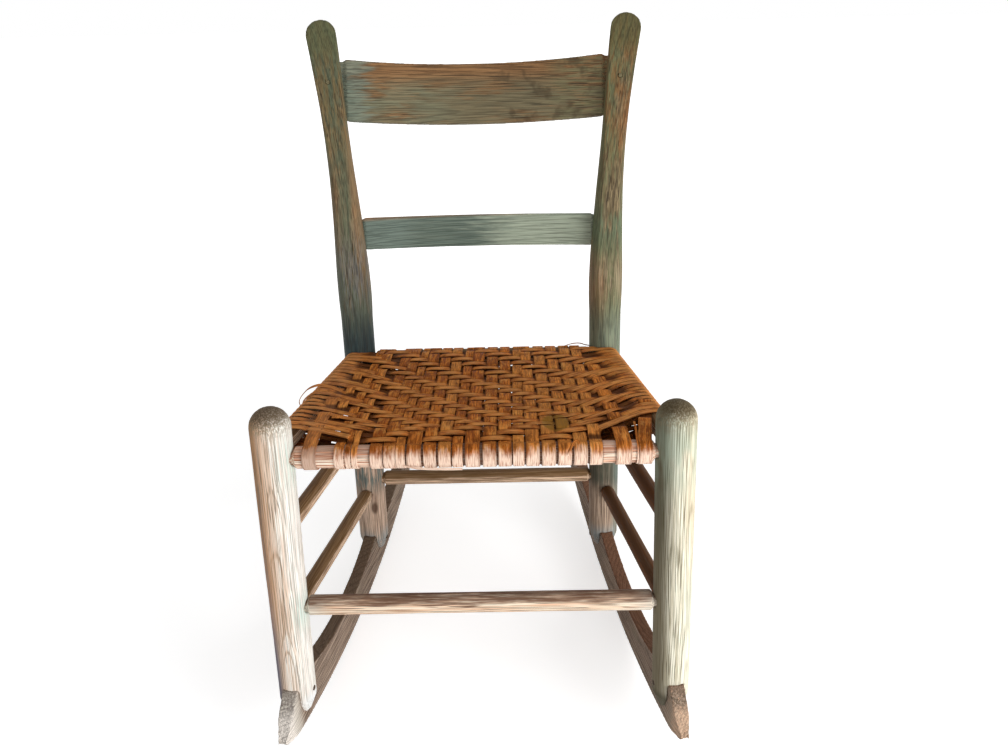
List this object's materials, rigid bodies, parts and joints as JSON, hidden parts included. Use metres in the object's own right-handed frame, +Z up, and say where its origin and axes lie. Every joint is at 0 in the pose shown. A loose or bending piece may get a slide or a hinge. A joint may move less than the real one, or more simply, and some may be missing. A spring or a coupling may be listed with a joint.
{
  "type": "rocking chair",
  "caption": "Low armless slat-back rocking chair with turned posts, bent slats, round rungs, a woven splint seat and sawn rockers let into the feet of the posts.",
  "frame": {"origin": "centre of the overall box's footprint on the floor, with the chair at rest", "axes": "+Z up, the chair faces -Y, and +X is to the right as seen from in front"},
  "size_m": [0.5112, 0.5893, 0.7792],
  "materials": {
    "bleached_post": "dry, bleached and checked",
    "worn_green_post": "worn blue-green paint over brown wood",
    "worn_green_slat": "worn blue-green paint over brown wood",
    "brown_rung": "worn satin",
    "grey_rocker": "weathered",
    "pin_wood": "dry",
    "splint": "dry splint"
  },
  "bodies": {
    "root": {"front_post_right": "bleached_post", "front_post_left": "bleached_post", "rear_post_right": "worn_green_post", "rear_post_left": "worn_green_post", "crest_slat": "worn_green_slat", "lower_slat": "worn_green_slat", "front_rail": "brown_rung", "back_rail": "brown_rung", "side_rail_right": "brown_rung", "side_rail_left": "brown_rung", "front_stretcher": "brown_rung", "rear_stretcher": "brown_rung", "upper_side_stretcher_right": "brown_rung", "upper_side_stretcher_left": "brown_rung", "lower_side_stretcher_right": "brown_rung", "lower_side_stretcher_left": "brown_rung", "rocker_right": "grey_rocker", "rocker_left": "grey_rocker", "rocker_pins": "pin_wood", "crest_pegs": "pin_wood", "seat_warp": "splint", "seat_weft": "splint"}
  },
  "joints": []
}
